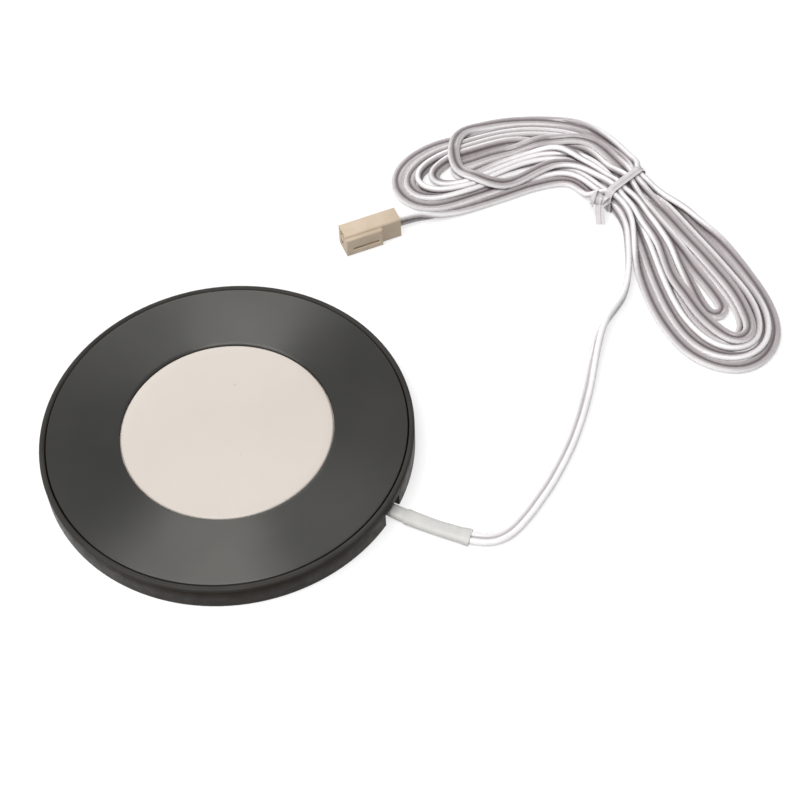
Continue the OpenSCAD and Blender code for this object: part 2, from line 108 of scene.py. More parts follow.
# Each loop: its reach from the tie, its half width on the inner and the outer side, its shift sideways, how far
# from the tie each side stays up if it starts on the others, and from where each side rises to lie on them
NEVER = 99
LEFT_LOOPS = [(54.6, 6.4, 7.7, -0.4, 8, 8, NEVER, NEVER), (53.1, 5.2, 6.4, -0.4, 8, 8, NEVER, NEVER),
              (51.6, 4.0, 5.2, -0.4, 8, 8, NEVER, NEVER), (49.8, 2.9, 4.1, -0.4, 8, 8, NEVER, NEVER),
              (46.8, 2.0, 3.1, -0.8, 20, 20, NEVER, NEVER), (41.5, 6.4, 8.6, -0.8, 8, 8, 0, 38)]
RIGHT_LOOPS = [(47.4, 8.2, 7.0, 0.7, 8, 8, NEVER, NEVER), (45.9, 6.8, 5.6, 0.7, 8, 8, NEVER, NEVER),
               (44.3, 5.3, 4.3, 0.7, 8, 8, NEVER, NEVER), (41.0, 2.6, 2.2, 0.4, 8, 20, NEVER, NEVER),
               (46.8, 3.6, 2.8, 2.0, 8, 8, 0, 0), (48.8, 8.8, 8.6, 0.5, 8, 8, NEVER, NEVER)]
LEG_POINTS = 27
# How far a leg takes to turn from the tie's line to its lobe's, to drop to the floor from either layer, and to
# rise on the others; and where between tie and tip a leg has its full width
TURNS_OVER, DROPS_OVER, RISES_OVER, WIDEST_AT = 12, (10, 16), 12, 0.65
# The last pass: its distances from the tie, and the heights at which it comes down to the floor
LAST_PASS, LAST_MIDDLE, LAST_LOW = range(3, 38, 4), 3, 1.5

# ---- How the turns settle ----
STEP = 1.1                              # mm between the points of the lead
HELD_LEAD, HELD_TAIL = 115, 5           # mm at the start, and points at the end, that stay where they are
TIE_HALF, TIE_REACH = 1, 6              # mm along and across the hank that the tie holds
LEAN, LEANS_OVER = 22, 16               # degrees that a turn leans outward, and mm beyond the tie to reach that
UPRIGHT_TAIL = 20                       # points at the end that do not lean
NEAR = 6                                # points so close along the lead never push each other
AIR = 0.02                              # mm between two turns, or a turn and the floor
FOLD_R = 2.6                            # mm, the bend that a fold is eased toward
EASE, SLIDE, STIFF = 0.45, 0.2, 0.3     # shares of a tight fold, an uneven step and an uneven bend put right
SETTLE_ROUNDS, LAY_ROUNDS = ((240, 300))
# In each round: how eagerly turns push apart, the farthest that they move in mm, and their pull back to the
# route, sideways and in height or only sideways; and how many rounds at the end have no such pull
SETTLE_EAGER, SETTLE_FAR, SETTLE_BACK, SETTLE_LEVEL, SETTLE_CALM = 1.6, 0.15, 0.012, 0.03, 60
LAY_EAGER, LAY_FAR, LAY_BACK, LAY_CALM = 1.5, 0.2, 0.008, 50
FALL = 0.035                            # mm that the lead drops in a round, but for the last ones
LOOK_EVERY, LOOK_BEYOND = 5, 0.8        # rounds between two looks for neighbours, and mm beyond touching


def distance_along(points):
    """Distance of each point from the start, measured along the line."""
    return np.r_[0, np.cumsum(np.linalg.norm(np.diff(points, axis=0), axis=1))]


def unit(vectors):
    """The same vectors, one in each row, at length one."""
    return vectors / np.linalg.norm(vectors, axis=1)[:, None]


def headings(line):
    """Unit vectors along a line, one at each of its points."""
    return unit(np.gradient(line, axis=0))


def even_steps(points, step):
    """The same line with its points an even step apart."""
    run = distance_along(points)
    at = np.linspace(0, run[-1], int(round(run[-1] / step)) + 1)
    return np.column_stack([np.interp(at, run, points[:, k]) for k in range(points.shape[1])])


def smoothed(points, rounds):
    """Each point averaged with its neighbours, a number of times; the two ends stay."""
    for _ in range(rounds):
        points = np.vstack([points[:1], (points[:-2] + 2 * points[1:-1] + points[2:]) / 4, points[-1:]])
    return points


def middle_line(spine):
    """Gives the point of a lobe's middle line at a distance from the tie."""
    line = smoothed(even_steps(np.array(spine, float), 1.0), 14)
    run = distance_along(line)
    return lambda d: np.array([np.interp(d, run, line[:, 0]), np.interp(d, run, line[:, 1])])


def beside(at, d, off, across_tie):
    """A point beside the middle line, measured along the tie where the line starts."""
    ahead = at(d + 2) - at(max(0, d - 2))
    ahead /= np.linalg.norm(ahead)
    t = min(1, d / TURNS_OVER)
    t = t * t * (3 - 2 * t)
    sideways = (1 - t) * across_tie + t * np.array([-ahead[1], ahead[0]])
    return at(d) + off * sideways / np.linalg.norm(sideways)


def half_width(u, slot, width, slim):
    """Distance of a leg from the middle line, where u runs from 0 at the tie to 1 at the tip."""
    bulge = math.sin(2 * math.asin(math.sqrt(u)))
    return slot * (1 - u) ** (2 if slim else 1) + width * bulge * (u / WIDEST_AT) ** (1.5 if slim else 1)


def loop_leg(at, loop, lane, side, across_tie, slim=False):
    """One leg of a loop, from the tie to its tip, with the height it should settle to."""
    reach, inner, outer, shift = loop[:4]
    width, stays, rises = (inner, loop[4], loop[6]) if side > 0 else (outer, loop[5], loop[7])
    column, layer = lane
    level = (LOW, HIGH)[layer]
    leg = []
    for a in np.linspace(0, math.pi, LEG_POINTS):
        u = math.sin(a / 2) ** 2
        d = reach * u
        off = side * half_width(u, abs(column) * LANE, width, slim) + shift * u
        drop = min(1, max(0, d - (0, stays)[layer]) / DROPS_OVER[layer])
        z = level + (GROUND - level) * drop
        z = max(z, GROUND + (RAISED - GROUND) * min(1, max(0, d + RISES_OVER - rises) / RISES_OVER))
        leg.append([*beside(at, d, off, across_tie), z])
    return np.array(leg)


def hank_route():
    """Line of the whole lead before it settles: out to the tie, round the twelve loops and on to the plug."""
    left, right = middle_line(LEFT_SPINE), middle_line(RIGHT_SPINE)
    legs = [LEAD[:-1, :3]]
    for k, (left_loop, right_loop) in enumerate(zip(LEFT_LOOPS, RIGHT_LOOPS)):
        into, through, back = PASSES[2 * k:2 * k + 3]
        legs.append(loop_leg(left, left_loop, into, 1, -ALONG_TIE, slim=True))
        legs.append(loop_leg(left, left_loop, through, -1, -ALONG_TIE)[::-1][1:])
        legs.append(loop_leg(right, right_loop, through, 1, ALONG_TIE)[1:])
        legs.append(loop_leg(right, right_loop, back, -1, ALONG_TIE)[::-1][1:])
    last = []
    for d in LAST_PASS:
        slot = abs(PASSES[-1][0]) * LANE
        off = half_width(d / LEFT_LOOPS[0][0], slot, LEFT_LOOPS[0][1], True) + LANE
        last.append([*beside(left, d, off, -ALONG_TIE), HIGH if d < 6 else LAST_MIDDLE if d < 12 else LAST_LOW])
    return np.vstack(legs + [np.array(last), TAIL[1:, :3]])


def mean_push(one, two, push, eager, count):
    """The push that each of a number of points gets from the pairs that share a place, evened out."""
    move, pairs = np.zeros((count, 3)), np.zeros(count)
    np.add.at(move, one, push)
    np.add.at(move, two, -push)
    np.add.at(pairs, one, 1)
    np.add.at(pairs, two, 1)
    return eager * move / np.maximum(pairs, 1)[:, None]


def eased(line, bend):
    """How far each point moves in to ease a tight fold, and along the line to keep the points evenly apart."""
    ahead = np.gradient(line, axis=0)
    pace = np.linalg.norm(ahead, axis=1)
    along = ahead / np.maximum(pace, 1e-9)[:, None]
    slide = along * (bend * along).sum(axis=1)[:, None]
    inward = bend - slide
    sharp = np.linalg.norm(inward, axis=1)
    over = np.maximum(1 - pace ** 2 / (2 * FOLD_R) / np.maximum(sharp, 1e-9), 0)
    return EASE * inward * over[:, None] + SLIDE * slide


def relaxed(line, move):
    """The line after a move, with its uneven bends and its tight folds eased."""
    bend, uneven = np.zeros_like(line), np.zeros_like(line)
    bend[1:-1] = (line[:-2] + line[2:]) / 2 - line[1:-1]
    uneven[1:-1] = (bend[:-2] + bend[2:]) / 2 - bend[1:-1]
    return line + move - STIFF * uneven + eased(line, bend)


def settle(line, held, apart):
    """Moves the turns until no two share a place, each bending as a limp lead does."""
    start = line.copy()
    order = np.arange(len(line))
    later = order[None, :] - order[:, None] > NEAR
    for turn in range(SETTLE_ROUNDS):
        dx = line[:, 0][:, None] - line[:, 0][None]
        dy = line[:, 1][:, None] - line[:, 1][None]
        one, two = np.nonzero(later & (dx * dx + dy * dy < apart * apart))
        gap = line[one] - line[two]
        gap[:, 2] = np.sign(gap[:, 2]) * np.maximum(np.abs(gap[:, 2]) - CORD_W / 2, 0)
        dist = np.linalg.norm(gap, axis=1)
        close = dist < apart
        one, two, gap, dist = one[close], two[close], gap[close], np.maximum(dist[close], 0.15)
        push = 0.5 * (apart / dist - 1)[:, None] * gap
        move = smoothed(mean_push(one, two, push, SETTLE_EAGER, len(line)), 3)
        moved = relaxed(line, np.clip(move, -SETTLE_FAR, SETTLE_FAR))
        if turn < SETTLE_ROUNDS - SETTLE_CALM:
            moved[:, :2] += SETTLE_BACK * (start[:, :2] - moved[:, :2])
            moved[:, 2] += SETTLE_LEVEL * (start[:, 2] - moved[:, 2])
        moved[:, 2] = np.clip(moved[:, 2], CORD_W / 2 + AIR, HIGH + 0.05)
        moved[held] = start[held]
        line = moved
    return line


def lay_down(line, wide, held):
    """Lets the twin lead settle under its weight, each turn tipping over until the floor or another turn holds
    it. Its two cores are round, and side by side along the unit vectors of wide."""
    r = CORD_T / 2
    start, upright = line.copy(), wide.copy()
    order = np.tile(np.arange(len(line)), 2)
    for turn in range(LAY_ROUNDS):
        if turn < LAY_ROUNDS - LAY_CALM:
            line[:, 2] -= FALL
            line[:, :2] += LAY_BACK * (start[:, :2] - line[:, :2])
        cores = np.vstack([line + r * wide, line - r * wide])
        if turn % LOOK_EVERY == 0:
            reach = 2 * r + LOOK_BEYOND
            near_x = np.abs(cores[:, 0][:, None] - cores[:, 0][None]) < reach
            near_y = np.abs(cores[:, 1][:, None] - cores[:, 1][None]) < reach
            one, two = np.nonzero(near_x & near_y & (order[None] - order[:, None] > NEAR))
        gap = cores[one] - cores[two]
        dist = np.linalg.norm(gap, axis=1)
        close = dist < 2 * r + AIR
        push = 0.5 * ((2 * r + AIR) / np.maximum(dist[close], 0.2) - 1)[:, None] * gap[close]
        move = np.clip(mean_push(one[close], two[close], push, LAY_EAGER, len(cores)), -LAY_FAR, LAY_FAR)
        move[:, 2] = np.maximum(move[:, 2], r + AIR - cores[:, 2])
        first, second = move[:len(line)], move[len(line):]
        line = relaxed(line, smoothed((first + second) / 2, 3))
        wide = wide + smoothed((first - second) / (2 * r), 3)
        line[held], wide[held] = start[held], upright[held]
        ahead = headings(line)
        wide = smoothed(wide, 2)
        wide = unit(wide - ahead * (wide * ahead).sum(axis=1)[:, None])
    line[:, 2] = np.maximum(line[:, 2], r + r * np.abs(wide[:, 2]))
    return line, wide


def wide_of(line, roll):
    """Unit vectors across a flat lead: level at roll 0 and upright at roll 90."""
    ahead = headings(line)
    side = unit(np.cross(ahead, [0, 0, 1]))
    roll = np.radians(roll)[:, None]
    return side * np.cos(roll) + np.cross(side, ahead) * np.sin(roll)


def lead_line():
    """Centre line of the whole lead in mm, and the way its two cores lie side by side."""
    line = smoothed(even_steps(hank_route(), STEP), 2)
    past_tie = np.abs((line[:, :2] - TIE_AT) @ np.array([-ALONG_TIE[1], ALONG_TIE[0]]))
    from_tie = np.linalg.norm(line[:, :2] - TIE_AT, axis=1)
    held = (past_tie < TIE_HALF) & (from_tie < TIE_REACH)
    before = int(HELD_LEAD / STEP)
    held[:before] = True
    held[-HELD_TAIL:] = True
    line = settle(line, held, CORD_T + 0.04)
    run, lead_run = distance_along(line), distance_along(LEAD[:, :3])
    outward = np.clip((from_tie - TIE_REACH) / LEANS_OVER, 0, 1) * LEAN
    outward[:before] = 0
    outward[-UPRIGHT_TAIL:] = 0
    roll = np.where(run < lead_run[-1], np.interp(run, lead_run, LEAD[:, 3]), 90 + outward)
    return lay_down(line, wide_of(line, roll), held)


# ---- Meshes swept along a line ----
def twin_section():
    """Figure-eight section of the twin lead: two round insulations joined by a thin web."""
    r, web = CORD_T / 2, math.radians(38)
    arc = np.linspace(-math.pi + web, math.pi - web, 11)
    right = np.column_stack([r + r * np.cos(arc), r * np.sin(arc)])
    left = np.column_stack([-r + r * np.cos(arc + math.pi), r * np.sin(arc + math.pi)])
    return np.vstack([right, left])


def oval(w, t):
    """A flat oval section, squarer than an ellipse."""
    square = 2.6
    a = np.linspace(0, 2 * math.pi, 20, endpoint=False)
    c, s = np.cos(a), np.sin(a)
    return np.column_stack([w / 2 * np.sign(c) * np.abs(c) ** (2 / square),
                            t / 2 * np.sign(s) * np.abs(s) ** (2 / square)])


def shaded(mesh, soft_angle):
    """Shades a mesh smooth, except at edges sharper than the angle."""
    mesh.shade_smooth()
    mesh.set_sharp_from_angle(angle=math.radians(soft_angle))


def reworked(mesh, soft_angle, edit=None):
    """Edits a mesh if asked, turns its faces outward and shades it."""
    shell = bmesh.new()
    shell.from_mesh(mesh)
    if edit:
        edit(shell)
    bmesh.ops.recalc_face_normals(shell, faces=shell.faces)
    shell.to_mesh(mesh)
    shell.free()
    shaded(mesh, soft_angle)


def swept(name, line, wide, section, finish):
    """A closed tube along a line in mm, of one section or of one for each point; its UV map runs along it."""
    thin = np.cross(wide, headings(line))
    shapes = section if np.ndim(section) == 3 else [section] * len(line)
    rings, around = len(line), len(shapes[0])
    points = [line[k] + wide[k] * q[0] + thin[k] * q[1] for k in range(rings) for q in shapes[k]]
    faces = [(k * around + j, k * around + (j + 1) % around, (k + 1) * around + (j + 1) % around,
              (k + 1) * around + j) for k in range(rings - 1) for j in range(around)]
    faces += [tuple(range(around))[::-1], tuple((rings - 1) * around + j for j in range(around))]
    mesh = bpy.data.meshes.new(name)
    mesh.from_pydata([tuple(p * MM for p in q) for q in points], [], faces)
    mesh.validate()
    reworked(mesh, 40)
    mesh.materials.append(finish)
    run = distance_along(line) * MM
    uv = mesh.uv_layers.new(name="along")
    for face in mesh.polygons:
        cells = [mesh.loops[i].vertex_index for i in face.loop_indices]
        seam = len(face.vertices) == 4 and {c % around for c in cells} == {0, around - 1}
        for i, c in zip(face.loop_indices, cells):
            turn = c % around / around
            uv.data[i].uv = (run[c // around], 1.0 if seam and turn == 0 else turn)
    return in_scene(name, mesh)


# ---- Nodes of materials and of Geometry Nodes trees ----
DIP, PEAK = 0.3, 0.7                    # most of a noise lies between these


def finish_of(name, **sockets):
    """A Principled finish; plain numbers and colours go straight on the shader's own sockets."""
    material = bpy.data.materials.new(name)
    material.use_nodes = True
    shader = material.node_tree.nodes["Principled BSDF"]
    for key, value in sockets.items():
        shader.inputs[key.replace("_", " ")].default_value = value
    return material, shader


def node(owner, kind, inputs=None, **settings):
    """A node in a material, a world or a Geometry Nodes tree; an input is a value or another node's output."""
    tree = getattr(owner, "node_tree", owner)
    made = tree.nodes.new(kind)
    for key, value in settings.items():
        setattr(made, key, value)
    for key, value in (inputs or {}).items():
        socket = made.inputs[key]
        if isinstance(value, bpy.types.NodeSocket):
            tree.links.new(value, socket)
        else:
            socket.default_value = value
    return made


def link(owner, out, socket):
    """Joins one node's output to a socket."""
    owner.node_tree.links.new(out, socket)


def place(owner, stretch=(1, 1, 1)):
    """Object coordinates in metres, stretched for a grain that runs one way."""
    coords = node(owner, "ShaderNodeTexCoord").outputs["Object"]
    return node(owner, "ShaderNodeMapping", {"Vector": coords, "Scale": stretch}).outputs["Vector"]


def noise(owner, vector, scale, detail=3.0, rough=0.5):
    """A cloudy pattern over the given coordinates."""
    return node(owner, "ShaderNodeTexNoise",
                {"Vector": vector, "Scale": scale, "Detail": detail, "Roughness": rough}).outputs["Fac"]


def span(owner, value, low, high, to_low, to_high):
    """A value between low and high brought between two others."""
    return node(owner, "ShaderNodeMapRange", {"Value": value, "From Min": low, "From Max": high,
                "To Min": to_low, "To Max": to_high}).outputs["Result"]


def sums(owner, operation, one, two):
    """One step of arithmetic on two values."""
    return node(owner, "ShaderNodeMath", {0: one, 1: two}, operation=operation).outputs["Value"]


def tint(owner, value, stops):
    """A colour ramp, its stops given as (place, colour)."""
    ramp = node(owner, "ShaderNodeValToRGB", {"Fac": value})
    line = ramp.color_ramp
    while len(line.elements) < len(stops):
        line.elements.new(1.0)
    for element, (at, colour) in zip(line.elements, stops):
        element.position, element.color = at, (*colour, 1)
    return ramp.outputs["Color"]


def mottled(owner, vector, scale, detail, dull, bright):
    """A colour that wanders between two."""
    return tint(owner, noise(owner, vector, scale, detail), [(DIP, dull), (PEAK, bright)])


def blend(owner, share, below, above, how="MIX"):
    """Two colours laid one over the other, by a share of the upper one."""
    return node(owner, "ShaderNodeMix", {"Factor": share, 6: below, 7: above}, data_type="RGBA",
                blend_type=how).outputs[2]


def roughened(owner, shader, value, low, high):
    """Lets the roughness wander between two values with a noise."""
    link(owner, span(owner, value, DIP, PEAK, low, high), shader.inputs["Roughness"])


def bump(owner, shader, height, strength, distance, below=None):
    """Fine unevenness of the surface, on top of another if given."""
    inputs = {"Height": height, "Strength": strength, "Distance": distance}
    if below:
        inputs["Normal"] = below
    made = node(owner, "ShaderNodeBump", inputs).outputs["Normal"]
    link(owner, made, shader.inputs["Normal"])
    return made


def seen(owner):
    """1 for rays that show a surface in the picture, straight or in a shine, and 0 for those that light it."""
    rays = node(owner, "ShaderNodeLightPath").outputs
    first = sums(owner, "MAXIMUM", rays["Is Camera Ray"], rays["Is Glossy Ray"])
    return sums(owner, "MAXIMUM", first, rays["Is Transmission Ray"])


# ---- Finishes ----
HANK_STARTS = 85                        # mm along the lead where the painted shade on its flanks begins to deepen
RIM_FROM, RIM_TO = 0.0047, 0.0054       # heights, in metres, between which the body's rim gets a painted highlight


def lead_finish():
    """Soft white PVC with the extruder's faint waves; painted shade darkens the groove between its cores and its
    flanks, more deeply along the hank.
    """
    m, s = finish_of("white_pvc_lead", Roughness=0.3, IOR=1.52)
    grain = place(m)
    cloud = mottled(m, grain, 140, 4, (0.87, 0.85, 0.856), (0.94, 0.922, 0.928))
    along = node(m, "ShaderNodeSeparateXYZ", {0: node(m, "ShaderNodeTexCoord").outputs["UV"]})
    quarter, past_web = 0.25, 0.023
    turn = sums(m, "ADD", along.outputs["Y"], past_web)
    flank = span(m, sums(m, "PINGPONG", turn, quarter), 0.0, quarter, 0, 1)
    # Painted shade: the groove between the cores and the flanks darkened by their place around the section, the
    # outer edges left at full colour; the shade is deeper along the hank.
    free_lead_painted_shade = tint(m, flank, [(0.06, (0.46, 0.44, 0.44)), (0.22, (0.80, 0.785, 0.79)), (0.5, (1, 1, 1))])
    hank_painted_shade = tint(m, flank, [(0.06, (0.14, 0.12, 0.124)), (0.28, (0.38, 0.345, 0.352)),
                  (0.6, (0.57, 0.535, 0.542)), (0.8, (0.9, 0.885, 0.89)), (0.9, (1, 1, 1))])
    in_hank = span(m, along.outputs["X"], HANK_STARTS * MM, (HANK_STARTS + 25) * MM, 0, 1)
    shade = blend(m, in_hank, free_lead_painted_shade, hank_painted_shade)
    link(m, blend(m, 1.0, cloud, shade, "MULTIPLY"), s.inputs["Base Color"])
    roughened(m, s, noise(m, grain, 600), 0.2, 0.32)
    waves = bump(m, s, noise(m, grain, 420, 2), 0.25, 0.0002)
    bump(m, s, noise(m, grain, 2600, 2), 0.12, 0.00005, waves)
    return m


def shell_finish():
    """Brown-black satin paint over a cast body, slightly orange-peeled, with a painted highlight in lighter grey
    along its rim.
    """
    m, s = finish_of("dark_satin_body", Roughness=0.45, Specular_IOR_Level=0.06,
                     Specular_Tint=(1, 0.80, 0.60, 1))
    grain = place(m)
    paint = mottled(m, grain, 220, 5, (0.0075, 0.0050, 0.0030), (0.0135, 0.0092, 0.0056))
    # Painted highlight: a lighter grey band, broken up by noise, along the top of the rim.
    height = node(m, "ShaderNodeSeparateXYZ", {0: grain}).outputs["Z"]
    patchy = span(m, noise(m, grain, 130), 0.3, 0.6, 0.75, 1)
    rim_painted_highlight = sums(m, "MULTIPLY", span(m, height, RIM_FROM, RIM_TO, 0, 1), patchy)
    link(m, blend(m, rim_painted_highlight, paint, (0.046, 0.0445, 0.042, 1)), s.inputs["Base Color"])
    roughened(m, s, noise(m, grain, 500), 0.32, 0.46)
    bump(m, s, noise(m, grain, 1800, 2), 0.18, 0.00006)
    return m


def face_finish():
    """Dark spun metal: fine rings of the lathe spread its highlights into bow ties."""
    m, s = finish_of("spun_dark_metal", Metallic=1.0, Roughness=0.43, Anisotropic=0.91)
    at = place(m)
    radial = node(m, "ShaderNodeVectorMath", {0: at, 1: (1, 1, 0)}, operation="MULTIPLY").outputs["Vector"]
    outward = node(m, "ShaderNodeVectorMath", {0: radial}, operation="NORMALIZE").outputs["Vector"]
    link(m, outward, s.inputs["Tangent"])
    far = node(m, "ShaderNodeVectorMath", {0: radial}, operation="LENGTH").outputs["Value"]
    rings = node(m, "ShaderNodeCombineXYZ", {"X": far}).outputs["Vector"]
    lathe = noise(m, rings, 9000, 3, 0.6)
    link(m, mottled(m, at, 60, 3, (0.053, 0.0525, 0.0495), (0.063, 0.062, 0.0585)), s.inputs["Base Color"])
    roughened(m, s, lathe, 0.38, 0.47)
    bump(m, s, lathe, 0.05, 0.00002)
    return m


def opal_finish():
    """Opal window: warm white, satin, with faint specks in the moulding."""
    m, s = finish_of("opal_window", Roughness=0.42, IOR=1.49)
    grain = place(m)
    speck = node(m, "ShaderNodeTexVoronoi", {"Vector": grain, "Scale": 260, "Randomness": 1.0})
    dot = span(m, speck.outputs["Distance"], 0.05, 0.11, 1, 0)
    some = span(m, noise(m, grain, 90, 1), 0.60, 0.66, 0, 1)
    base = mottled(m, grain, 45, 3, (0.575, 0.52, 0.468), (0.61, 0.556, 0.504))
    spotted = blend(m, sums(m, "MULTIPLY", dot, some), base, (0.54, 0.465, 0.385, 1))
    link(m, spotted, s.inputs["Base Color"])
    roughened(m, s, noise(m, grain, 900), 0.36, 0.5)
    bump(m, s, noise(m, grain, 1500, 2), 0.08, 0.00004)
    return m


def plain_finish(name, colour, rough, grit, stretch=(1, 1, 1), **sockets):
    """A finish from its mottling (scale, detail and two colours), its roughness (scale, low and high) and its
    grit (scale, detail, strength and distance), which may be stretched one way."""
    m, s = finish_of(name, **sockets)
    grain = place(m)
    link(m, mottled(m, grain, *colour), s.inputs["Base Color"])
    roughened(m, s, noise(m, grain, rough[0]), *rough[1:])
    bump(m, s, noise(m, place(m, stretch), *grit[:2]), *grit[2:])
    return m


def inner_finish(name, colour, rough, metallic=1.0):
    """A finish for a piece inside the body or the plug."""
    darker = tuple(c * 0.8 for c in colour)
    return plain_finish(name, (300, 4, darker, colour), (1200, rough - 0.07, rough + 0.09),
                        (2400, 2, 0.15, 0.00005), Metallic=metallic)


# ---- Pieces carried over from the CAD, welded and smoothed ----
WELD = 1e-6


def stands_for(piece, name):
    """Lets a piece ride the body in place of a CAD node."""
    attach(piece, "root")
    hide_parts(name)
    return piece


def dressed(name, finish, soft_angle=32):
    """The CAD solid's own surface, welded, with smooth curves and sharp edges."""
    def weld(shell):
        """Joins the points that the CAD's faces share."""
        bmesh.ops.remove_doubles(shell, verts=shell.verts, dist=WELD)
        bmesh.ops.dissolve_degenerate(shell, edges=shell.edges, dist=WELD)

    mesh = nodes[name].data.copy()
    mesh.name = name + "_dressed"
    reworked(mesh, soft_angle, weld)
    mesh.materials.clear()
    mesh.materials.append(finish)
    return stands_for(in_scene(name + "_dressed", mesh), name)


def softened(name, finish, edge):
    """The CAD solid's own surface with its moulded edges rounded."""
    def round_edges(shell):
        """Merges the flat faces, then rounds every sharp edge."""
        bmesh.ops.dissolve_limit(shell, angle_limit=math.radians(2), verts=shell.verts, edges=shell.edges)
        sharp = [e for e in shell.edges if len(e.link_faces) == 2 and math.degrees(e.calc_face_angle(0)) > 35]
        bmesh.ops.bevel(shell, geom=sharp, offset=edge * MM, segments=2, profile=0.6, affect="EDGES",
                        clamp_overlap=True)

    piece = dressed(name, finish, 40)
    reworked(piece.data, 30, round_edges)
    return piece


# ---- Pieces grown by Geometry Nodes: turned rings with repeated clips, and strips that follow a path ----
def new_tree(name, sockets):
    """A Geometry Nodes tree with its named inputs, as (tree, inputs by name, output socket)."""
    tree = bpy.data.node_groups.new(name, "GeometryNodeTree")
    tree.interface.new_socket("Geometry", in_out="INPUT", socket_type="NodeSocketGeometry")
    for label, kind in sockets:
        tree.interface.new_socket(label, in_out="INPUT", socket_type="NodeSocket" + kind)
    tree.interface.new_socket("Geometry", in_out="OUTPUT", socket_type="NodeSocketGeometry")
    return tree, tree.nodes.new("NodeGroupInput").outputs, tree.nodes.new("NodeGroupOutput").inputs[0]


def finished_with(tree, shape, finish, out):
    """Ends a tree: real geometry, welded, with its finish."""
    real = node(tree, "GeometryNodeRealizeInstances", {"Geometry": shape}).outputs["Geometry"]
    welded = node(tree, "GeometryNodeMergeByDistance", {"Geometry": real, "Distance": WELD})
    done = node(tree, "GeometryNodeSetMaterial", {"Geometry": welded.outputs["Geometry"], "Material": finish})
    tree.links.new(done.outputs["Geometry"], out)
    return tree


def section_of(tree, source):
    """The section drawn by another object's mesh, as a curve."""
    outline = node(tree, "GeometryNodeObjectInfo", {"Object": source}).outputs["Geometry"]
    return node(tree, "GeometryNodeMeshToCurve", {"Mesh": outline}).outputs["Curve"]


def turned_tree():
    """Turns a closed section round the object's axis, with short pieces of another repeated under it."""
    tree, given, out = new_tree("turned_with_clips", [
        ("Finish", "Material"), ("Radius", "Float"), ("Steps", "Int"), ("Clip section", "Object"),
        ("Clips", "Int"), ("Clip angle", "Float"), ("First clip", "Float")])
    section = node(tree, "GeometryNodeMeshToCurve", {"Mesh": given["Geometry"]}).outputs["Curve"]
    circle = node(tree, "GeometryNodeCurvePrimitiveCircle",
                  {"Resolution": given["Steps"], "Radius": given["Radius"]})
    ring = node(tree, "GeometryNodeCurveToMesh", {"Curve": circle.outputs["Curve"], "Profile Curve": section})
    arc = node(tree, "GeometryNodeCurveArc", {"Resolution": 9, "Radius": given["Radius"],
               "Sweep Angle": given["Clip angle"]})
    clip = node(tree, "GeometryNodeCurveToMesh", {"Curve": arc.outputs["Curve"],
                "Profile Curve": section_of(tree, given["Clip section"]), "Fill Caps": True})
    pitch = node(tree, "ShaderNodeMath", {0: math.tau, 1: given["Clips"]}, operation="DIVIDE").outputs["Value"]
    index = node(tree, "GeometryNodeInputIndex").outputs["Index"]
    angle = node(tree, "ShaderNodeMath", {0: index, 1: pitch, 2: given["First clip"]}, operation="MULTIPLY_ADD")
    around = node(tree, "ShaderNodeCombineXYZ", {"Z": angle.outputs["Value"]}).outputs["Vector"]
    places = node(tree, "GeometryNodePoints", {"Count": given["Clips"]}).outputs["Points"]
    clips = node(tree, "GeometryNodeInstanceOnPoints", {"Points": places, "Instance": clip.outputs["Mesh"],
                 "Rotation": around}).outputs["Instances"]
    joined = node(tree, "GeometryNodeJoinGeometry", {"Geometry": clips})
    tree.links.new(ring.outputs["Mesh"], joined.inputs["Geometry"])
    return finished_with(tree, joined.outputs["Geometry"], given["Finish"], out)


def strip_tree():
    """Runs a section along a path, turned at each point by the path's own tilt."""
    tree, given, out = new_tree("strip_on_path", [("Finish", "Material"), ("Section", "Object")])
    path = node(tree, "GeometryNodeMeshToCurve", {"Mesh": given["Geometry"]}).outputs["Curve"]
    tilt = node(tree, "GeometryNodeInputNamedAttribute", {"Name": "tilt"}).outputs["Attribute"]
    turned = node(tree, "GeometryNodeSetCurveTilt", {"Curve": path, "Tilt": tilt}).outputs["Curve"]
    strip = node(tree, "GeometryNodeCurveToMesh", {"Curve": turned, "Fill Caps": True,
                 "Profile Curve": section_of(tree, given["Section"])}).outputs["Mesh"]
    return finished_with(tree, strip, given["Finish"], out)


def drawn(name, points, closed, tilt=None):
    """An object whose mesh is only a line through points in mm."""
    count = len(points)
    edges = [(k, (k + 1) % count) for k in range(count if closed else count - 1)]
    mesh = bpy.data.meshes.new(name)
    mesh.from_pydata([tuple(c * MM for c in (*q, 0)[:3]) for q in points], edges, [])
    if tilt is not None:
        mesh.attributes.new("tilt", "FLOAT", "POINT").data.foreach_set("value", list(map(float, tilt)))
    return in_scene(name, mesh)


def grown(piece, tree, soft_angle, **values):
    """Runs a tree on a drawn line and keeps what it makes as the object's own mesh."""
    modifier = piece.modifiers.new(tree.name, "NODES")
    modifier.node_group = tree
    for socket in tree.interface.items_tree:
        if socket.in_out == "INPUT" and socket.name in values:
            modifier[socket.identifier] = values[socket.name]
    made = bpy.data.meshes.new_from_object(piece.evaluated_get(bpy.context.evaluated_depsgraph_get()))
    piece.modifiers.remove(modifier)
    reworked(made, soft_angle)
    piece.data = made
    return piece


def corner(x, y, r, a, b, n=4):
    """Points of a rounded corner from angle a to angle b, in degrees."""
    turns = [math.radians(t) for t in np.linspace(a, b, n + 1)]
    return [(x + r * math.cos(t), y + r * math.sin(t)) for t in turns]


def around_axis(points, middle):
    """A section given as (radius, height), drawn for a circle through middle."""
    return [(r - middle, -z) for r, z in points]


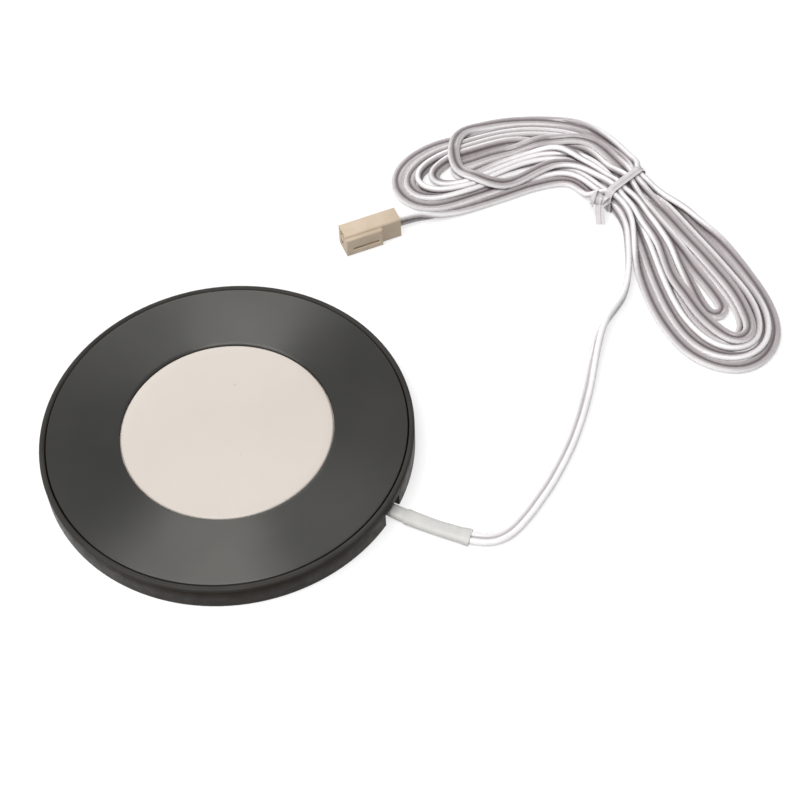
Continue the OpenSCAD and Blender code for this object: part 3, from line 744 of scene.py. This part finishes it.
def turned_piece(name, section, middle, finish, steps, clip=((0, 0), (0.01, 0)), clips=0, wide=0.1, first=0.0):
    """A piece turned round the body's axis from a section in mm, with clips of a given section under it."""
    piece = drawn(name, around_axis(section, middle), True)
    hooks = drawn("clip_section", clip, clips > 0)
    grown(piece, TURNED, 50, **{"Finish": finish, "Radius": middle * MM, "Steps": steps, "Clip section": hooks,
          "Clips": clips, "Clip angle": wide, "First clip": first})
    bpy.data.objects.remove(hooks)
    return piece


TURNED, STRIP = turned_tree(), strip_tree()
FACE_R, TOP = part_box("face_ring")[1].x / MM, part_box("face_ring")[1].z / MM
APERTURE_R, FACE_T, ROLL_R, LIP_R = 20.0, 0.8, 0.5, 0.15
CLIP_R, CLIP_T, CLIP_H, NIB = 32.3, 0.7, 2.1, 0.4
WINDOW_R, FLANGE_R, FLANGE_T, SINK, DOME, WINDOW_EDGE = 19.9, 21.5, 0.8, 0.3, 0.15, 0.4


def face_ring_piece():
    """Pressed ring with a rolled aperture, a rounded outer edge and three clips."""
    seat = TOP - FACE_T
    flat_to, flat_from = FACE_R - 0.6, APERTURE_R + ROLL_R + 0.5
    section = [(APERTURE_R, seat), (FACE_R, seat), *corner(FACE_R - LIP_R, TOP - LIP_R, LIP_R, 0, 90),
               (flat_to, TOP), (flat_from, TOP),
               *corner(APERTURE_R + ROLL_R, TOP - ROLL_R, ROLL_R, 90, 180, 6)]
    hook, root = seat - CLIP_H, seat + 0.1
    clip = [(CLIP_R - CLIP_T, hook), (CLIP_R, hook), (CLIP_R + NIB, hook + 0.5), (CLIP_R + NIB, hook + 1),
            (CLIP_R, hook + 1), (CLIP_R, root), (CLIP_R - CLIP_T, root)]
    return turned_piece("spun_face", section, APERTURE_R, face_finish(), 192, around_axis(clip, APERTURE_R), 3,
                        math.radians(10), math.radians(25))


def window_piece():
    """Opal window: a shallow dome with a rounded edge and a flange under the face ring."""
    seat, edge, dome_r = TOP - FACE_T, TOP - SINK, WINDOW_R - WINDOW_EDGE
    hollow, hollow_r, foot_r = seat - 0.5, WINDOW_R - 1.4, WINDOW_R - 1.1
    dome = [(r, edge + DOME * (1 - (r / dome_r) ** 2)) for r in (dome_r - k * 1.5 for k in range(1, 13))]
    section = [(0, hollow), (hollow_r, hollow), (foot_r, seat - FLANGE_T), (FLANGE_R, seat - FLANGE_T),
               (FLANGE_R, seat), (WINDOW_R, seat),
               *corner(dome_r, edge - WINDOW_EDGE, WINDOW_EDGE, 0, 90), *dome, (0, edge + DOME)]
    return turned_piece("opal_dome", section, WINDOW_R, opal_finish(), 144)


def round_corners(points, r):
    """A path with its corners cut by short arcs of about r."""
    points = [np.array(q, float) for q in points]
    path = [points[0]]
    for before, at, after in zip(points, points[1:], points[2:]):
        a, b = (before - at) / np.linalg.norm(before - at), (after - at) / np.linalg.norm(after - at)
        path += [at + r * ((1 - t) ** 2 * a + t ** 2 * b) for t in np.linspace(0, 1, 6)]
    return np.array(path + [points[-1]])


def tilt_for(path, wide):
    """The tilt at the path's start that turns a section's width toward wide."""
    ahead = np.array(path[1]) - path[0]
    ahead /= np.linalg.norm(ahead)
    level = np.array([ahead[1], -ahead[0], 0])
    level = level / np.linalg.norm(level) if np.linalg.norm(level) > 1e-4 else np.array([1.0, 0, 0])
    return math.atan2(np.dot(np.cross(level, wide), ahead), np.dot(level, wide))


def tie_piece(finish):
    """Twist tie: its strip round the waist, the ends twisted together and coiled, and one end hanging down."""
    half, top = 5.1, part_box("twist_tie")[1].z / MM - 0.3
    ridge = [(-0.9, 0.05), (-0.3, 0.09), (-0.16, 0.24), (0, 0.29), (0.16, 0.24), (0.3, 0.09), (0.9, 0.05)]
    section = drawn("tie_section", ridge + [(x, -z) for x, z in ridge[::-1]], True)
    wrap = round_corners([(-half - 0.5, 0, 3.6), (-half, 0, top - 0.6), (-half + 1.1, 0, top),
                          (half - 1.1, 0, top), (half, 0, top - 0.9), (half + 0.1, 0, 0.35), (-half, 0, 0.35),
                          (-half - 0.2, 0, 3.0)], 0.6)
    start, end = np.array([-half - 0.2, -0.3, 4.2]), np.array([-half - 2.3, 2.6, 4.1])
    along = (end - start) / np.linalg.norm(end - start)
    aside = np.cross(along, [0, 0, 1])
    rise = np.cross(aside, along)

    def coil(turns, first, low, high, r):
        """A coil of the strip about the line from start to end, between two shares of its length."""
        a = np.linspace(0, turns * math.tau, int(26 * turns) + 2)
        return [start + (low + (high - low) * t) * (end - start) + r * (math.cos(w) * aside + math.sin(w) * rise)
                for t, w in zip(a / a[-1], first + a)]

    hanging = round_corners([start + [-0.3, 0.3, -0.2], (-half - 1.9, 0.5, 3.6), (-half - 2.7, -0.2, 2.2),
                             (-half - 3.6, -1.5, 0.4)], 0.5)
    paths = {"wrap": (wrap, (0, 1, 0)), "hanging_end": (hanging, (0.75, -0.66, 0)),
             "twist_one": (coil(1.2, 0.4, 0.0, 0.85, 0.45), along),
             "twist_two": (coil(1.2, 0.4 + math.pi, 0.0, 0.85, 0.45), along),
             "coiled_end": (coil(1.3, 2.0, 0.62, 0.98, 1.05), along)}
    shell = bmesh.new()
    for name, (path, wide) in paths.items():
        run = drawn(name, path, False, [tilt_for(path, wide)] * len(path))
        shell.from_mesh(grown(run, STRIP, 40, **{"Finish": finish, "Section": section}).data)
        bpy.data.objects.remove(run)
    bpy.data.objects.remove(section)
    turn = Matrix.Translation(Vector((*TIE_AT, 0)) * MM) @ Matrix.Rotation(TIE_A, 4, "Z")
    bmesh.ops.transform(shell, matrix=turn, verts=shell.verts)
    mesh = bpy.data.meshes.new("wire_tie")
    shell.to_mesh(mesh)
    shell.free()
    mesh.materials.append(finish)
    shaded(mesh, 40)
    return in_scene("wire_tie", mesh)


def sleeve_piece(finish):
    """Shrink sleeve: pinched where it enters the body, and flared and ringed at its loose end."""
    line = smoothed(even_steps(LEAD[SLEEVE_FROM:SLEEVE_TO + 1], 0.4), 2)
    run = np.linspace(0, 1, len(line))
    size = np.interp(run, [0, 0.24, 0.27, 0.31, 0.6, 0.9, 0.965, 1],
                     [0.84, 0.84, 1.0, 0.95, 0.92, 0.97, 1.08, 1.05])
    ripple = 1 + 0.008 * np.sin(run * 70)
    shapes = [oval(SLEEVE_W * k * q, SLEEVE_T * min(k, 1.0)) for k, q in zip(size, ripple)]
    return swept("shrink_sleeve", line[:, :3], wide_of(line[:, :3], line[:, 3]), shapes, finish)


# ---- The outer pieces and their finishes ----
tie_plastic = plain_finish("tie_plastic", (400, 3, (0.58, 0.55, 0.56), (0.70, 0.67, 0.68)), (900, 0.34, 0.5),
                           (1800, 2, 0.2, 0.0001), Roughness=0.4)
shrink_sleeve = plain_finish("shrink_sleeve", (300, 3, (0.54, 0.532, 0.512), (0.625, 0.616, 0.594)),
                             (900, 0.42, 0.6), (1500, 3, 0.3, 0.0001), (1, 0.3, 1), Roughness=0.5)
cream_nylon = plain_finish("cream_nylon_plug", (260, 4, (0.54, 0.43, 0.315), (0.61, 0.495, 0.375)),
                           (800, 0.42, 0.6), (1600, 3, 0.15, 0.00006), Roughness=0.5)
dressed("housing", shell_finish())
stands_for(face_ring_piece(), "face_ring")
stands_for(window_piece(), "diffuser")
sleeve = stands_for(sleeve_piece(shrink_sleeve), "cable_sleeve")
tie = stands_for(tie_piece(tie_plastic), "twist_tie")
plug = softened("plug_housing", cream_nylon, 0.14)

# ---- The lead with its hank, one cord from the body to the plug ----
line, wide = lead_line()
cord = swept("twin_lead", line, wide, twin_section(), lead_finish())
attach(cord, "root")
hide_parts("lead_cord", "cord_hank", "tail_cord")

# ---- Inner pieces, which keep their CAD surface: finish, colour, roughness and how metallic ----
INNER = {
    "reflector": ("white_reflector", (0.85, 0.85, 0.83), 0.4, 0.0),
    "led_board": ("white_board_mask", (0.80, 0.81, 0.78), 0.35, 0.0),
    "led_chips": ("yellow_phosphor", (0.82, 0.66, 0.16), 0.5, 0.0),
    "board_resistors": ("black_resistor", (0.03, 0.03, 0.03), 0.4, 0.0),
    "polarity_diode": ("black_epoxy", (0.04, 0.04, 0.04), 0.5, 0.0),
    "thermal_pad": ("grey_silicone_pad", (0.42, 0.45, 0.52), 0.7, 0.0),
    "board_screws": ("zinc_screw", (0.62, 0.62, 0.60), 0.3),
    "bare_cores": ("tinned_copper", (0.72, 0.48, 0.32), 0.35),
    "solder_joints": ("solder", (0.66, 0.66, 0.67), 0.28),
    "cable_clamp": ("black_clamp", (0.05, 0.05, 0.05), 0.45, 0.0),
    "clamp_screws": ("zinc_clamp_screw", (0.60, 0.60, 0.58), 0.32),
    "plug_contacts": ("tinned_contact", (0.66, 0.60, 0.48), 0.3),
}
for name, look in INNER.items():
    finish, slots = inner_finish(*look), nodes[name].material_slots
    for slot in slots:
        slot.material = finish
    if not slots:
        nodes[name].data.materials.append(finish)

# ---- Floor, backdrop and lamps ----
FLOOR_HALF, FLOOR_DROP = 3.0, 0.00005
GLOW_NEAR, GLOW_FAR = 0.66, 1           # of the floor in the picture, up to 0.2 m from the part and past 0.7 m
BACKDROP_LIGHT, BACKDROP_SEEN = 0.14, 1.0


def floor_finish():
    """Pale paper that the camera sees as white where nothing shades it."""
    m, s = finish_of("pale_paper_floor", Roughness=0.9, Emission_Color=(1, 1, 1, 1))
    grain, shown = place(m), seen(m)
    paper = mottled(m, grain, 30, 3, (0.50, 0.50, 0.50), (0.52, 0.52, 0.52))
    link(m, blend(m, shown, paper, (0.36, 0.36, 0.36, 1)), s.inputs["Base Color"])
    far = node(m, "ShaderNodeVectorMath", {0: grain}, operation="LENGTH").outputs["Value"]
    glow = sums(m, "MULTIPLY", shown, span(m, far, 0.2, 0.7, GLOW_NEAR, GLOW_FAR))
    link(m, glow, s.inputs["Emission Strength"])
    return m


def make_floor():
    """A level floor just under the part, out of the part's own pieces."""
    mesh = bpy.data.meshes.new("floor")
    h = FLOOR_HALF
    mesh.from_pydata([(-h, -h, 0), (h, -h, 0), (h, h, 0), (-h, h, 0)], [], [(0, 1, 2, 3)])
    mesh.materials.append(floor_finish())
    floor = in_scene("floor", mesh)
    floor.location.z = -FLOOR_DROP


def backdrop():
    """A white world that throws little light of its own."""
    world = bpy.data.worlds.new("backdrop")
    bpy.context.scene.world = world
    world.use_nodes = True
    background = world.node_tree.nodes["Background"]
    background.inputs["Color"].default_value = (1, 1, 1, 1)
    link(world, span(world, seen(world), 0, 1, BACKDROP_LIGHT, BACKDROP_SEEN), background.inputs["Strength"])


def area_lamp(name, at, aim, size, power):
    """A rectangular lamp at one point in metres, turned toward another."""
    data = bpy.data.lights.new(name, "AREA")
    data.shape, data.size, data.size_y, data.energy = "RECTANGLE", *size, power
    lamp = in_scene(name, data)
    lamp.location = at
    lamp.rotation_euler = (Vector(aim) - Vector(at)).to_track_quat("-Z", "Y").to_euler()


make_floor()
backdrop()
area_lamp("key_lamp", (-0.10, -0.17, 0.615), (0.0, 0.0, 0), (0.55, 0.22), 4.2)
area_lamp("fill_lamp", (-0.6, -0.42, 0.22), (0.02, 0.02, 0), (0.5, 0.3), 1.5)
area_lamp("back_lamp", (-0.14, 0.72, 0.40), (0.02, 0.0, 0), (0.45, 0.3), 2.05)

bpy.context.scene.view_settings.view_transform = "Standard"
